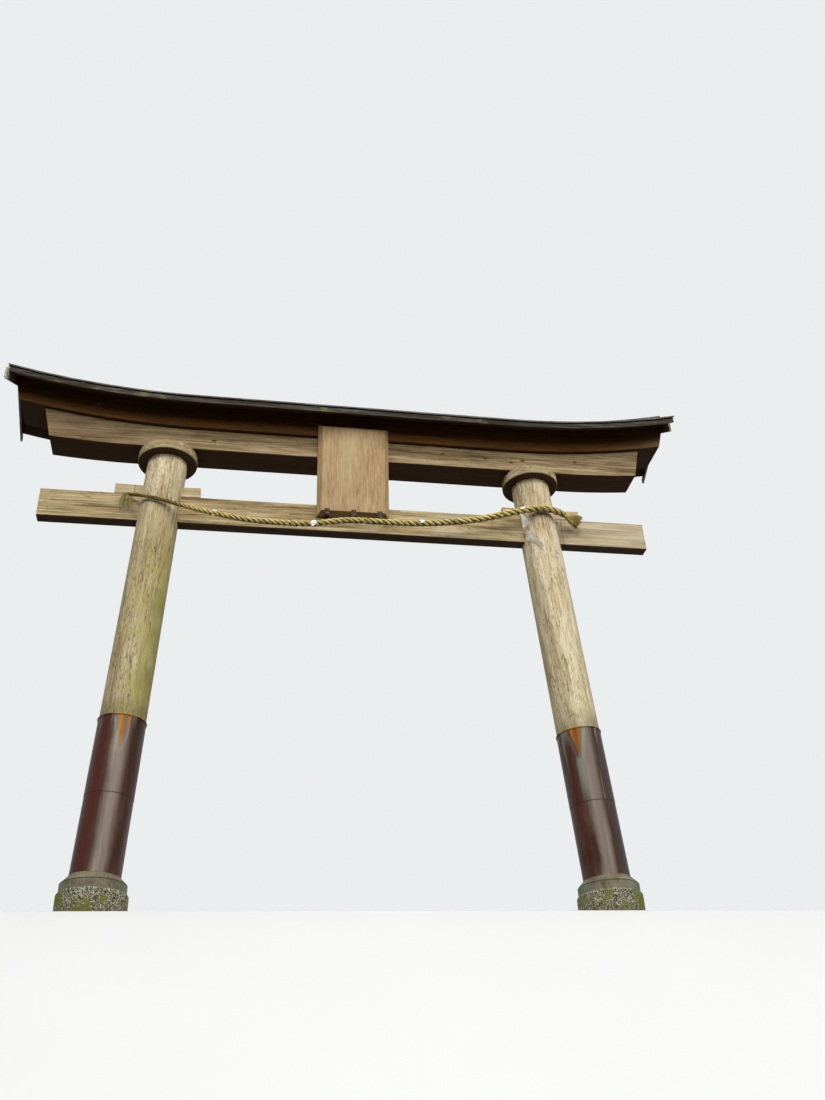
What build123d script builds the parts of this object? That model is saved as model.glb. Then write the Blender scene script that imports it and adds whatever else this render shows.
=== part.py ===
"""A timber shrine gateway on round granite bases.

Two leaning posts carry a cap ring each, a lower lintel and an upswept upper lintel with a small
pitched roof. A tie beam runs through both posts and is held by wedges. Units are millimetres,
+Z is up, the front faces -Y and the ground is at Z = 0 midway between the posts.
"""
import math
import os

from build123d import *

os.makedirs("parts", exist_ok=True)

# Base stones and the copper collar on each
stone_radius = 200.0
stone_height = 140.0
stone_round = 14.0
seat_height = 48.0            # the narrower top of the stone, inside the collar
copper = 4.0                  # thickness of the collar
collar_rise = 49.0            # height of the collar's sloping part

# Posts
foot_spacing = 3040.0         # between the post centres on top of the stones
post_height = 3005.0          # from the stone to the underside of the cap ring
post_foot_radius = 142.5
post_top_radius = 140.0
post_lean = 3.25              # degrees, each post leans in

# Copper sheath round each post, in two courses
lower_course = 461.0
upper_course = 493.0
lower_skin = 2.5
upper_skin = 3.5
rim_radius = 5.0

# Cap ring under the lintel
ring_radius = 209.0
ring_height = 80.0
ring_round = 12.0

# Tie beam through the posts
beam_reach = 660.5            # how far each end passes the post's foot, across
beam_height = 223.0
beam_depth = 89.0
arris = 4.0                   # planed off the long edges of the beam and lintels

# Wedges above the tie beam
wedge_height = 80.0
wedge_drop = 9.0              # fall of a wedge's top from its head to its tip
wedge_gap = 6.0               # between the two tips inside a post
wedge_reach_out = 181.0       # how far the outer wedge stands out of its post
wedge_reach_in = 125.0

# Lower lintel
lower_height = 176.0          # at mid length
lower_depth = 225.0
lower_reach = 652.5           # how far its underside passes the post's foot, across
lower_slant = 13.5            # degrees, the ends lean out
lower_rise = 32.0             # upturn of the underside at its ends

# Upper lintel
upper_depth = 286.0
upper_face = 204.0            # height of its front face
upper_reach = 887.0           # how far its underside passes the post's foot, across
upper_slant = 16.0            # degrees, the ends lean out
sweep_flat = 1156.0           # half the length that stays level before the upturn
sweep_radius = 5650.0         # of the upturned ends

# Roof
roof_pitch = 34.0             # degrees
roof_overrun = 0.5            # gap between the lintel's upper corner and a barge board
eave_reach = 204.0            # from the lintel's face out to the eave
board_thickness = 32.0
cover_thickness = 22.0
cover_lip = 10.0              # thickness of the cover's overhanging edge
cover_setback = 24.0          # how far the cover's lower part stands back from the eave
ridge_width = 150.0           # of each leaf of the ridge cap
ridge_thickness = 24.0
barge_depth = 78.0            # how far a barge board hangs below the roof boards
barge_tip = 20.0              # the same at its rear end
barge_thickness = 14.0
barge_reach = 40.0            # how far its feet pass the eaves
barge_step = 18.0             # how far the top of a foot is cut down
barge_loss = 131.0            # the right board has lost this much of its front foot

# Strut between beam and lintel, and the name board hung in front of it
strut_height = 377.0          # between the beam's top and the lintel's underside
strut_width = 150.0
strut_depth = 82.0
plaque_width = 522.0
plaque_height = 750.0
plaque_thickness = 60.0
plaque_edge = 20.0            # square part of the board's edge
plaque_bevel = 32.0           # width of the bevelled border
plaque_offset = -20.0         # the board hangs a little off centre
plaque_foot_drop = 110.0      # its lower back edge under the top of the beam
bracket_width = 34.0
bracket_iron = 6.0
bracket_inset = 72.0          # from the board's side to the middle of the outer brackets
bracket_lip = 12.0            # how far the iron laps over the board's face

# Rope
rope_diameter = 46.0
knot_width = 90.0
knot_height = 64.0
butt_length = 110.0
butt_neck_radius = 31.0
butt_end_radius = 50.0

# Values that follow from the sizes above
stone_top = stone_height + seat_height
sheath_foot = stone_top + collar_rise
course_seam = sheath_foot + lower_course
sheath_top = course_seam + upper_course
seat_radius = stone_radius - 12.0
lean = math.tan(math.radians(post_lean))
foot_x = foot_spacing / 2
beam_half = foot_x + beam_reach
lower_half = foot_x + lower_reach
upper_half = foot_x + upper_reach
ring_bottom = stone_top + post_height
lintel_bottom = ring_bottom + ring_height
beam_top = lintel_bottom - strut_height
beam_bottom = beam_top - beam_height
upper_bottom = lintel_bottom + lower_height
pitch = math.tan(math.radians(roof_pitch))
overhang = upper_depth / 2 + eave_reach
soffit_peak = upper_face + upper_depth / 2 * pitch
board_peak = soffit_peak + board_thickness / math.cos(math.radians(roof_pitch))
cover_peak = board_peak + cover_thickness / math.cos(math.radians(roof_pitch))
ridge_peak = cover_peak + ridge_thickness / math.cos(math.radians(roof_pitch))
lower_lean = math.tan(math.radians(lower_slant))
upper_lean = math.tan(math.radians(upper_slant))
board_half = upper_half + upper_face * upper_lean + roof_overrun
roof_half = board_half + barge_thickness
sweep_arc = 1 + math.degrees(math.asin((roof_half - sweep_flat) / (sweep_radius - ridge_peak)))


def post_x(height):
    """Distance of a post's axis from the middle at a height above the ground."""
    return foot_x - (height - stone_top) * lean


def post_radius(height):
    """Radius of a post at a height above the ground."""
    share = (height - stone_top) / post_height
    return post_foot_radius + (post_top_radius - post_foot_radius) * share


def post_plane(side, height):
    """A plane square to a post's axis, on the axis at this height."""
    axis_dir = Vector(-side * lean, 0, 1).normalized()
    return Plane(origin=(side * post_x(height), 0, height), x_dir=(0, 1, 0), z_dir=axis_dir)


def post_frustum(side, low, high, skin=0.0, mode=Mode.ADD):
    """Add or cut a leaning post's round form between two heights, thicker by a skin."""
    with BuildSketch(post_plane(side, low)) as foot_section:
        Circle(post_radius(low) + skin)
    with BuildSketch(post_plane(side, high)) as top_section:
        Circle(post_radius(high) + skin)
    loft(sections=[foot_section.sketch, top_section.sketch], mode=mode)


def swept_timber(points, reach):
    """Add a section along the level middle and round the upturned ends, cut plumb at the reach.

    The points are across and up from the middle of the upper lintel's underside.
    """
    for side in (-1, 1):
        flat_end = (side * sweep_flat, 0, upper_bottom)
        with BuildSketch(Plane(origin=flat_end, x_dir=(0, 1, 0), z_dir=(1, 0, 0))) as section:
            with BuildLine():
                Polyline(*points, close=True)
            make_face()
        extrude(section.sketch, amount=-side * sweep_flat)
        turn_axis = Axis((side * sweep_flat, 0, upper_bottom + sweep_radius), (0, -side, 0))
        revolve(section.sketch, axis=turn_axis, revolution_arc=sweep_arc)
    split(bisect_by=Plane.YZ.offset(reach), keep=Keep.BOTTOM)
    split(bisect_by=Plane.YZ.offset(-reach), keep=Keep.TOP)


# Base stones: turned granite drums with a narrower seat for the collar
sides = (("left", -1), ("right", 1))
for side_name, side in sides:
    with BuildPart() as base_stone:
        with BuildSketch(Plane.XY):
            with Locations((side * foot_x, 0)):
                Circle(stone_radius)
        extrude(amount=stone_height)
        fillet(base_stone.edges().filter_by(GeomType.CIRCLE).sort_by(Axis.Z)[-1], stone_round)
        with BuildSketch(Plane.XY.offset(stone_height)):
            with Locations((side * foot_x, 0)):
                Circle(seat_radius - copper)
        extrude(amount=seat_height)
    base_stone.part.label = f"base_stone_{side_name}"
    export_step(base_stone.part, f"parts/base_stone_{side_name}.step")

# Copper collars: an upright band round the stone's seat and a slope up to the post
slope_foot = post_foot_radius + lower_skin
collar_slope = (collar_rise - copper) / (seat_radius - slope_foot)
collar_core = post_foot_radius - 3 * copper
for side_name, side in sides:
    with BuildPart() as base_collar:
        axis_plane = Plane(origin=(side * foot_x, 0, stone_height), x_dir=(1, 0, 0), z_dir=(0, -1, 0))
        with BuildSketch(axis_plane):
            with BuildLine():
                Polyline(
                    (seat_radius - copper, 0),
                    (seat_radius, 0),
                    (seat_radius, seat_height + copper),
                    (collar_core, seat_height + copper + collar_slope * (seat_radius - collar_core)),
                    (collar_core, seat_height),
                    (seat_radius - copper, seat_height),
                    close=True,
                )
            make_face()
        revolve(axis=Axis((side * foot_x, 0, 0), (0, 0, 1)))
        post_frustum(side, stone_height, sheath_foot + 2 * collar_rise, mode=Mode.SUBTRACT)
        split(bisect_by=post_plane(side, sheath_foot), keep=Keep.BOTTOM)
    base_collar.part.label = f"base_collar_{side_name}"
    export_step(base_collar.part, f"parts/base_collar_{side_name}.step")

# Posts: round tapered timbers, leaning in, mortised for the tie beam and its wedges
for side_name, side in sides:
    with BuildPart() as post:
        post_frustum(side, stone_top - post_foot_radius, ring_bottom + post_foot_radius)
        split(bisect_by=Plane.XY.offset(stone_top), keep=Keep.TOP)
        split(bisect_by=Plane.XY.offset(ring_bottom), keep=Keep.BOTTOM)
        axis_x = side * post_x(beam_top)
        outer = axis_x + side * (post_radius(beam_top) + wedge_reach_out)
        inner = axis_x - side * (post_radius(beam_top) + wedge_reach_in)
        with BuildSketch(Plane.XZ):
            with BuildLine():
                Polyline(
                    (inner, beam_bottom),
                    (outer, beam_bottom),
                    (outer, beam_top + wedge_height),
                    (axis_x, beam_top + wedge_height - wedge_drop),
                    (inner, beam_top + wedge_height),
                    close=True,
                )
            make_face()
        extrude(amount=beam_depth / 2, both=True, mode=Mode.SUBTRACT)
    post.part.label = f"post_{side_name}"
    export_step(post.part, f"parts/post_{side_name}.step")

# Copper sheath: two courses wrapped round each post's foot, the upper one lapped on top
courses = (
    ("lower", sheath_foot, course_seam, lower_skin),
    ("upper", course_seam, sheath_top, upper_skin),
)
for side_name, side in sides:
    for course_name, low, high, skin in courses:
        with BuildPart() as sheath:
            post_frustum(side, low, high, skin)
            post_frustum(side, low, high, mode=Mode.SUBTRACT)
        sheath.part.label = f"sheath_{course_name}_{side_name}"
        export_step(sheath.part, f"parts/sheath_{course_name}_{side_name}.step")

# Rolled rim: a half-round bead round the sheath's top edge
for side_name, side in sides:
    with BuildPart() as rim:
        top_plane = post_plane(side, sheath_top)
        radial = Plane(origin=top_plane.origin, x_dir=top_plane.x_dir, z_dir=-top_plane.y_dir)
        with BuildSketch(radial):
            with Locations((post_radius(sheath_top - 2 * rim_radius) + upper_skin, -rim_radius)):
                Circle(rim_radius)
                Rectangle(
                    rim_radius, 2 * rim_radius, align=(Align.MAX, Align.CENTER), mode=Mode.SUBTRACT
                )
        revolve(axis=Axis(top_plane.origin, top_plane.z_dir))
    rim.part.label = f"sheath_rim_{side_name}"
    export_step(rim.part, f"parts/sheath_rim_{side_name}.step")

# Cap rings: thick turned discs between post and lintel
for side_name, side in sides:
    with BuildPart() as cap_ring:
        with BuildSketch(Plane.XY.offset(ring_bottom)):
            with Locations((side * post_x(ring_bottom), 0)):
                Circle(ring_radius)
        extrude(amount=ring_height)
        fillet(cap_ring.edges().filter_by(GeomType.CIRCLE), ring_round)
    cap_ring.part.label = f"cap_ring_{side_name}"
    export_step(cap_ring.part, f"parts/cap_ring_{side_name}.step")

# Tie beam: one straight timber through both posts
with BuildPart() as tie_beam:
    with BuildSketch(Plane.XY.offset(beam_bottom)):
        Rectangle(2 * beam_half, beam_depth)
    extrude(amount=beam_height)
    chamfer(tie_beam.edges().filter_by(Axis.X), arris)
tie_beam.part.label = "tie_beam"
export_step(tie_beam.part, "parts/tie_beam.step")

# Wedges: driven in above the beam from both sides of each post
for side_name, side in sides:
    axis_x = side * post_x(beam_top)
    for end_name, way, reach in (("outer", side, wedge_reach_out), ("inner", -side, wedge_reach_in)):
        with BuildPart() as wedge:
            head = axis_x + way * (post_radius(beam_top) + reach)
            tip = axis_x + way * wedge_gap / 2
            tip_drop = wedge_drop * (1 - wedge_gap / 2 / (post_radius(beam_top) + reach))
            with BuildSketch(Plane.XZ):
                with BuildLine():
                    Polyline(
                        (head, beam_top),
                        (head, beam_top + wedge_height),
                        (tip, beam_top + wedge_height - tip_drop),
                        (tip, beam_top),
                        close=True,
                    )
                make_face()
            extrude(amount=beam_depth / 2, both=True)
        wedge.part.label = f"wedge_{side_name}_{end_name}"
        export_step(wedge.part, f"parts/wedge_{side_name}_{end_name}.step")

# Lower lintel: flat over the posts, then turned up; its top follows the upper lintel's sweep
lower_flat = post_x(ring_bottom) + ring_radius
lower_corner = lintel_bottom + lower_rise
with BuildPart() as lower_lintel:
    with BuildSketch(Plane.XZ):
        with BuildLine():
            underside = Line((-lower_flat, lintel_bottom), (lower_flat, lintel_bottom))
            right_turn = TangentArc(underside @ 1, (lower_half, lower_corner), tangent=(1, 0))
            left_turn = TangentArc(underside @ 0, (-lower_half, lower_corner), tangent=(-1, 0))
            blank_height = 2 * lower_height
            blank_half = lower_half + blank_height * lower_lean
            Polyline(
                right_turn @ 1,
                (blank_half, lower_corner + blank_height),
                (-blank_half, lower_corner + blank_height),
                left_turn @ 1,
            )
        make_face()
        with BuildLine():
            top = Line((-sweep_flat, upper_bottom), (sweep_flat, upper_bottom))
            right_sweep = JernArc(top @ 1, (1, 0), sweep_radius, sweep_arc)
            left_sweep = JernArc(top @ 0, (-1, 0), sweep_radius, -sweep_arc)
            Polyline(
                right_sweep @ 1,
                right_sweep @ 1 + Vector(0, blank_height),
                left_sweep @ 1 + Vector(0, blank_height),
                left_sweep @ 1,
            )
        make_face(mode=Mode.SUBTRACT)
    extrude(amount=lower_depth / 2, both=True)
    level_edges = lower_lintel.edges().filter_by(Axis.X).sort_by(Axis.Z)[:2]
    turned_edges = lower_lintel.edges().filter_by(GeomType.CIRCLE).sort_by(Axis.Z)[:4]
    chamfer(level_edges + turned_edges, arris)
lower_lintel.part.label = "lower_lintel"
export_step(lower_lintel.part, "parts/lower_lintel.step")

# Upper lintel: section with a peaked top along the sweep, slanted ends cut plumb at the barge
upper_section = [
    (-upper_depth / 2, arris),
    (arris - upper_depth / 2, 0),
    (upper_depth / 2 - arris, 0),
    (upper_depth / 2, arris),
    (upper_depth / 2, upper_face),
    (0, soffit_peak),
    (-upper_depth / 2, upper_face),
]
end_run = upper_half - sweep_flat
end_foot = upper_bottom + sweep_radius - math.sqrt(sweep_radius**2 - end_run**2)
with BuildPart() as upper_lintel:
    swept_timber(upper_section, board_half)
    for side_name, side in sides:
        end_plane = Plane(
            origin=(side * upper_half, 0, end_foot),
            x_dir=(0, 1, 0),
            z_dir=Vector(side, 0, -upper_lean),
        )
        split(bisect_by=end_plane, keep=Keep.BOTTOM)
upper_lintel.part.label = "upper_lintel"
export_step(upper_lintel.part, "parts/upper_lintel.step")

# Roof boards: one sloping board each side, meeting over the lintel
slopes = (("front", -1), ("rear", 1))
for slope_name, way in slopes:
    board_section = [
        (0, soffit_peak),
        (way * overhang, soffit_peak - overhang * pitch),
        (way * overhang, board_peak - overhang * pitch),
        (0, board_peak),
    ]
    with BuildPart() as roof_board:
        swept_timber(board_section, board_half)
    roof_board.part.label = f"roof_board_{slope_name}"
    export_step(roof_board.part, f"parts/roof_board_{slope_name}.step")

# Roof covers: an upper layer with a thin lip standing out over a recess
lip_peak = cover_peak - cover_lip / math.cos(math.radians(roof_pitch))
recess = overhang - cover_setback
for slope_name, way in slopes:
    cover_section = [
        (0, board_peak),
        (way * recess, board_peak - recess * pitch),
        (way * recess, lip_peak - recess * pitch),
        (way * overhang, lip_peak - overhang * pitch),
        (way * overhang, cover_peak - overhang * pitch),
        (0, cover_peak),
    ]
    with BuildPart() as roof_cover:
        swept_timber(cover_section, roof_half)
    roof_cover.part.label = f"roof_cover_{slope_name}"
    export_step(roof_cover.part, f"parts/roof_cover_{slope_name}.step")

# Ridge cap: two leaves over the meeting line of the covers
ridge_half = ridge_width * math.cos(math.radians(roof_pitch))
ridge_section = [
    (0, cover_peak),
    (ridge_half, cover_peak - ridge_half * pitch),
    (ridge_half, ridge_peak - ridge_half * pitch),
    (0, ridge_peak),
    (-ridge_half, ridge_peak - ridge_half * pitch),
    (-ridge_half, cover_peak - ridge_half * pitch),
]
with BuildPart() as ridge_cap:
    swept_timber(ridge_section, roof_half)
ridge_cap.part.label = "ridge_cap"
export_step(ridge_cap.part, "parts/ridge_cap.step")

# Barge boards: thin gable-shaped boards over the ends of the roof boards, under the covers
foot_out = overhang + barge_reach
barge_section = [
    (0, board_peak),
    (overhang, board_peak - overhang * pitch),
    (overhang, board_peak - overhang * pitch - barge_step),
    (foot_out, board_peak - foot_out * pitch - barge_step),
    (foot_out, soffit_peak - foot_out * pitch - barge_tip),
    (0, soffit_peak - barge_depth),
    (-foot_out, soffit_peak - foot_out * pitch - barge_depth),
    (-foot_out, board_peak - foot_out * pitch - barge_step),
    (-overhang, board_peak - overhang * pitch - barge_step),
    (-overhang, board_peak - overhang * pitch),
]
for side_name, side in sides:
    with BuildPart() as barge_board:
        swept_timber(barge_section, roof_half)
        inner_face = Plane.YZ.offset(side * board_half)
        split(bisect_by=inner_face, keep=Keep.TOP if side > 0 else Keep.BOTTOM)
        if side > 0:
            broken_end = Plane.XZ.offset(foot_out - barge_loss)
            split(bisect_by=broken_end, keep=Keep.BOTTOM)
    barge_board.part.label = f"barge_board_{side_name}"
    export_step(barge_board.part, f"parts/barge_board_{side_name}.step")

# Strut: a short upright between beam and lintel, behind the name board
with BuildPart() as strut:
    with BuildSketch(Plane.XY.offset(beam_top)):
        Rectangle(strut_width, strut_depth)
    extrude(until=Until.NEXT, target=lower_lintel.part)
strut.part.label = "strut"
export_step(strut.part, "parts/strut.step")

# Name board: leans out from the beam's face to the lower edge of a lintel
plaque_foot = beam_top - plaque_foot_drop
bracket_spacing = plaque_width / 2 - bracket_inset
lean_on_lower = (lower_depth - beam_depth) / 2 / (lintel_bottom - plaque_foot)
lean_on_upper = (upper_depth - beam_depth) / 2 / (upper_bottom - plaque_foot)
plaque_lean = math.atan(max(lean_on_lower, lean_on_upper))
plaque_out = Vector(0, -math.cos(plaque_lean), -math.sin(plaque_lean))
plaque_plane = Plane(
    origin=(plaque_offset, -beam_depth / 2, plaque_foot), x_dir=(1, 0, 0), z_dir=plaque_out
)
bevel_depth = plaque_thickness - plaque_edge
bevel_angle = math.degrees(math.atan2(plaque_bevel, bevel_depth))
with BuildPart() as plaque:
    with BuildSketch(plaque_plane):
        with Locations((0, plaque_height / 2)):
            Rectangle(plaque_width, plaque_height)
    extrude(amount=plaque_edge)
    with BuildSketch(plaque_plane.offset(plaque_edge)):
        with Locations((0, plaque_height / 2)):
            Rectangle(plaque_width, plaque_height)
    extrude(amount=bevel_depth, taper=bevel_angle)
plaque.part.label = "plaque"
export_step(plaque.part, "parts/plaque.step")

# Brackets: three bent irons under the name board, lapping over its face
for bracket_name, step in (("left", -1), ("middle", 0), ("right", 1)):
    with BuildPart() as bracket:
        bracket_side = Plane(
            origin=plaque_plane.origin + Vector(step * bracket_spacing + bracket_width / 2, 0, 0),
            x_dir=plaque_out,
            z_dir=(-1, 0, 0),
        )
        with BuildSketch(bracket_side):
            with BuildLine():
                Polyline(
                    (-plaque_edge, 0),
                    (plaque_thickness, 0),
                    (plaque_thickness, plaque_bevel + bracket_lip),
                    (plaque_thickness + bracket_iron, plaque_bevel + bracket_lip),
                    (plaque_thickness + bracket_iron, -bracket_iron),
                    (-plaque_edge, -bracket_iron),
                    close=True,
                )
            make_face()
        extrude(amount=bracket_width)
        split(bisect_by=Plane.XZ.offset(beam_depth / 2), keep=Keep.TOP)
    bracket.part.label = f"plaque_bracket_{bracket_name}"
    export_step(bracket.part, f"parts/plaque_bracket_{bracket_name}.step")

# Rope: thin end tied at the left, slung before both posts, thick end at the right
# Each point gives its share of the way out to a post's axis, how far it lies before a post's
# face, and its height over the beam's underside.
rope_points = [
    (-1.164, -70, 200),
    (-1.102, -20, 160),
    (-1.028, 25, 115),
    (-0.960, 30, 87),
    (-0.859, 28, 50),
    (-0.728, 26, 12),
    (-0.592, 25, -21),
    (-0.439, 25, -36),
    (-0.242, 25, -33),
    (-0.116, 26, 4),
    (-0.022, 26, 23),
    (0.157, 27, 19),
    (0.329, 28, 25),
    (0.513, 29, 55),
    (0.681, 31, 102),
    (0.837, 34, 172),
    (0.952, 36, 215),
    (1.036, 34, 221),
    (1.094, 24, 204),
    (1.137, 12, 179),
]
rope_route = [
    (share * post_x(beam_top), -post_radius(beam_top) - out, beam_bottom + height)
    for share, out, height in rope_points
]
runs = [(Vector(*b) - Vector(*a)) for a, b in zip(rope_route, rope_route[1:])]
rope_radii = []
for before, after in zip(runs, runs[1:]):
    half_turn = math.radians(before.get_angle(after)) / 2
    rope_radii.append(0.45 * min(before.length, after.length) / math.tan(half_turn))
print("rope radii", [round(radius) for radius in rope_radii])
with BuildPart() as rope:
    with BuildLine() as rope_line:
        FilletPolyline(*rope_route, radius=rope_radii)
    with BuildSketch(Plane(origin=rope_route[0], z_dir=runs[0])):
        Circle(rope_diameter / 2)
    sweep(path=rope_line.wires()[0])
rope_length = rope_line.wires()[0].length
print("rope length", round(rope_length), "volume ratio",
      round(rope.part.volume / (math.pi * rope_diameter**2 / 4 * rope_length), 4))
rope.part.label = "rope"
export_step(rope.part, "parts/rope.step")

# Rope's butt: the flared brush of cut straw at the thick end
with BuildPart() as rope_butt:
    butt_plane = Plane(origin=rope_route[-1], z_dir=runs[-1])
    with BuildSketch(butt_plane):
        Circle(butt_neck_radius)
    with BuildSketch(butt_plane.offset(butt_length)):
        Circle(butt_end_radius)
    loft()
rope_butt.part.label = "rope_butt"
export_step(rope_butt.part, "parts/rope_butt.step")

# Rope's knot: the lump of straw that ties the thin end to the beam's face
with BuildPart() as rope_knot:
    knot_plane = Plane.XZ.offset(beam_depth / 2)
    with BuildSketch(knot_plane):
        with Locations((rope_route[0][0] - knot_width / 3, rope_route[0][2])):
            RectangleRounded(knot_width, knot_height, knot_height / 3)
    extrude(amount=2 * (-rope_route[0][1] - beam_depth / 2))
    split(bisect_by=Plane(origin=rope_route[0], z_dir=runs[0]), keep=Keep.BOTTOM)
rope_knot.part.label = "rope_knot"
export_step(rope_knot.part, "parts/rope_knot.step")
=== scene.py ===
"""A timber shrine gateway: two leaning round posts on granite bases with copper sheaths, a wedged
tie beam, two lintels under a small swept roof, a bare name board and a straw rope.
"""
import bisect
import functools
import math
import random

import bmesh
import bpy
from mathutils import Matrix, Vector


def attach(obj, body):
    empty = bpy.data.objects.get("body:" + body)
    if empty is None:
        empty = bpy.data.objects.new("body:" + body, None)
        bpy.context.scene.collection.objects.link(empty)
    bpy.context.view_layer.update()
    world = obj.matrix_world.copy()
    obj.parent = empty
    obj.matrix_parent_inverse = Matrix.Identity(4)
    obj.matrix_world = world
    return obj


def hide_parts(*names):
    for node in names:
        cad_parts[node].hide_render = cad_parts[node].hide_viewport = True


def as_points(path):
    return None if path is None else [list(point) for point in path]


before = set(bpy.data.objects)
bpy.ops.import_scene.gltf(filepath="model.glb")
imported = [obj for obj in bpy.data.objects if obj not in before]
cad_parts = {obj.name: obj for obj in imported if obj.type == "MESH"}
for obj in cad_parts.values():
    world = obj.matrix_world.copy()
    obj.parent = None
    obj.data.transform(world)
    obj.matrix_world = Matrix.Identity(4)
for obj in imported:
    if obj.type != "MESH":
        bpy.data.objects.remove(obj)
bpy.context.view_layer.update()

# Camera: in front of the gate and a good way below its feet, looking up at the lintels and
# turned a little to the right.
def placed(name, data):
    """A new object that is linked to the scene."""
    thing = bpy.data.objects.new(name, data)
    bpy.context.scene.collection.objects.link(thing)
    return thing


camera_data = bpy.data.cameras.new("camera")
camera_data.sensor_width = 36
camera_data.lens = 34.69
camera_data.clip_end = 200
camera = placed("camera", camera_data)
view_right = (0.98506817, -0.16631614, -0.04449324)
view_up = (-0.05399409, -0.54383669, 0.83745226)
view_back = (-0.16347888, -0.8225452, -0.5446963)
camera_place = (-0.8273, -6.2436, -1.554)
view = Matrix((view_right, view_up, view_back)).transposed().to_4x4()
camera.matrix_world = Matrix.Translation(camera_place) @ view
bpy.context.scene.camera = camera


# Base stones: two turned drums of speckled granite that carry the posts. They are sawn and
# bush-hammered, with moss creeping up the side away from the light.
class Sum:
    """A shader node's output that takes part in arithmetic and adds its own Math nodes."""

    def __init__(self, nodes, node, name=0):
        self.nodes = nodes
        self.node = node
        self.socket = node.outputs[name]

    def out(self, name):
        """Another output of the same node."""
        return Sum(self.nodes, self.node, name)

    def _math(self, operation, *values):
        return self.nodes.add("ShaderNodeMath", dict(enumerate(values)), operation=operation)

    def __add__(self, other):
        return self._math("ADD", self, other)

    def __sub__(self, other):
        return self._math("SUBTRACT", self, other)

    def __rsub__(self, other):
        return self._math("SUBTRACT", other, self)

    def __mul__(self, other):
        return self._math("MULTIPLY", self, other)

    def __truediv__(self, other):
        return self._math("DIVIDE", self, other)

    def __abs__(self):
        return self._math("ABSOLUTE", self)

    __radd__ = __add__
    __rmul__ = __mul__

    def between(self, low, high):
        """0 below low and 1 above high, smooth between; low above high turns it round."""
        values = {"Value": self, "From Min": low, "From Max": high}
        smooth = self.nodes.add("ShaderNodeMapRange", values, interpolation_type="SMOOTHSTEP")
        return smooth.out("Result")

    def most(self, other):
        return self._math("MAXIMUM", self, other)


class Nodes:
    """A node tree under construction."""

    def __init__(self, tree, coordinates):
        self.tree = tree
        self.place = self.add("ShaderNodeTexCoord").out(coordinates)

    def put(self, node, key, value):
        """Give an input of a node its value, or link it to another node's output."""
        if isinstance(value, Sum):
            self.tree.links.new(value.socket, node.inputs[key])
        elif isinstance(value, tuple) and node.inputs[key].type == "RGBA":
            node.inputs[key].default_value = (*value, 1)
        else:
            node.inputs[key].default_value = value

    def add(self, kind, values=None, **settings):
        """A new node of a kind. Its settings come first, then the values or links of its inputs."""
        node = self.tree.nodes.new(kind)
        for key, value in settings.items():
            if key == "stops":
                stops = node.color_ramp.elements
                while len(stops) < len(value):
                    stops.new(1.0)
                for stop, (position, tone) in zip(stops, value):
                    stop.position = position
                    stop.color = (*tone, 1)
            else:
                setattr(node, key, value)
        for key, value in (values or {}).items():
            self.put(node, key, value)
        return Sum(self, node)

    def mapped(self, scale=(1, 1, 1), turn=(0, 0, 0), move=(0, 0, 0), place=None):
        values = {"Vector": place or self.place, "Scale": scale, "Rotation": turn, "Location": move}
        return self.add("ShaderNodeMapping", values).out("Vector")

    def noise(self, scale, detail=3, roughness=0.55, distortion=0.0, place=None):
        values = {"Vector": place or self.place, "Scale": scale, "Detail": detail}
        values |= {"Roughness": roughness, "Distortion": distortion}
        return self.add("ShaderNodeTexNoise", values).out("Fac")

    def drawn(self, scale, detail, roughness, distortion=0.0, move=(0, 0, 0), place=None):
        """Noise with a scale for each axis, drawn out long where the scale is small."""
        place = self.mapped(scale, move=move, place=place)
        return self.noise(1, detail, roughness, distortion, place)

    def waves(self, axis, scale, distortion=0.0, detail=2, detail_scale=1.0, place=None):
        values = {"Vector": place or self.place, "Scale": scale, "Distortion": distortion}
        values |= {"Detail": detail, "Detail Scale": detail_scale}
        return self.add("ShaderNodeTexWave", values, bands_direction=axis).out("Fac")

    def axes(self, place=None):
        split = self.add("ShaderNodeSeparateXYZ", {"Vector": place or self.place})
        return split.out("X"), split.out("Y"), split.out("Z")

    def ramp(self, value, *stops):
        return self.add("ShaderNodeValToRGB", {"Fac": value}, stops=stops).out("Color")

    def mix(self, factor, first, second, blend="MIX"):
        values = {0: factor, 6: first, 7: second}
        return self.add("ShaderNodeMix", values, data_type="RGBA", blend_type=blend).out(2)

    def seen(self):
        """1 where the camera sees a surface, straight or by a reflection, and 0 for its light."""
        path = self.add("ShaderNodeLightPath")
        seen = path.out("Is Camera Ray").most(path.out("Is Glossy Ray"))
        return seen.most(path.out("Is Transmission Ray"))


class Paint(Nodes):
    """One material under construction, on its Principled shader."""

    def __init__(self, name, roughness=0.8, metallic=0.0, gloss=0.12):
        self.material = bpy.data.materials.new(name)
        self.material.use_nodes = True
        super().__init__(self.material.node_tree, "Object")
        self.shader = self.tree.nodes["Principled BSDF"]
        self.set("Roughness", roughness)
        self.set("Metallic", metallic)
        self.set("Specular IOR Level", gloss)

    def set(self, name, value):
        self.put(self.shader, name, value)

    def over(self, mask, tone, blend="MIX"):
        """Lay a tone over the colour so far, where the mask is."""
        self.colour = self.mix(mask, self.colour, tone, blend)

    def finish(self, height=None, strength=0.4, depth=0.003, underside_tone_and_shade=None, **feeds):
        # Faces turned downwards take a darker tone: partly the wood's own colour there, partly
        # painted shade.
        if underside_tone_and_shade:
            normal = self.add("ShaderNodeNewGeometry").out("Normal")
            facing_down = self.axes(normal)[2].between(-0.4, -0.8)
            self.over(facing_down * 0.92, underside_tone_and_shade)
        self.set("Base Color", self.colour)
        if height:
            values = {"Height": height, "Strength": strength, "Distance": depth}
            self.set("Normal", self.add("ShaderNodeBump", values))
        for name, value in feeds.items():
            self.set(name.replace("_", " "), value)
        return self.material


def dress(material, *names):
    """Give CAD nodes this finish."""
    for name in names:
        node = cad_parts[name]
        node.data.materials.clear()
        node.data.materials.append(material)


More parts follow.
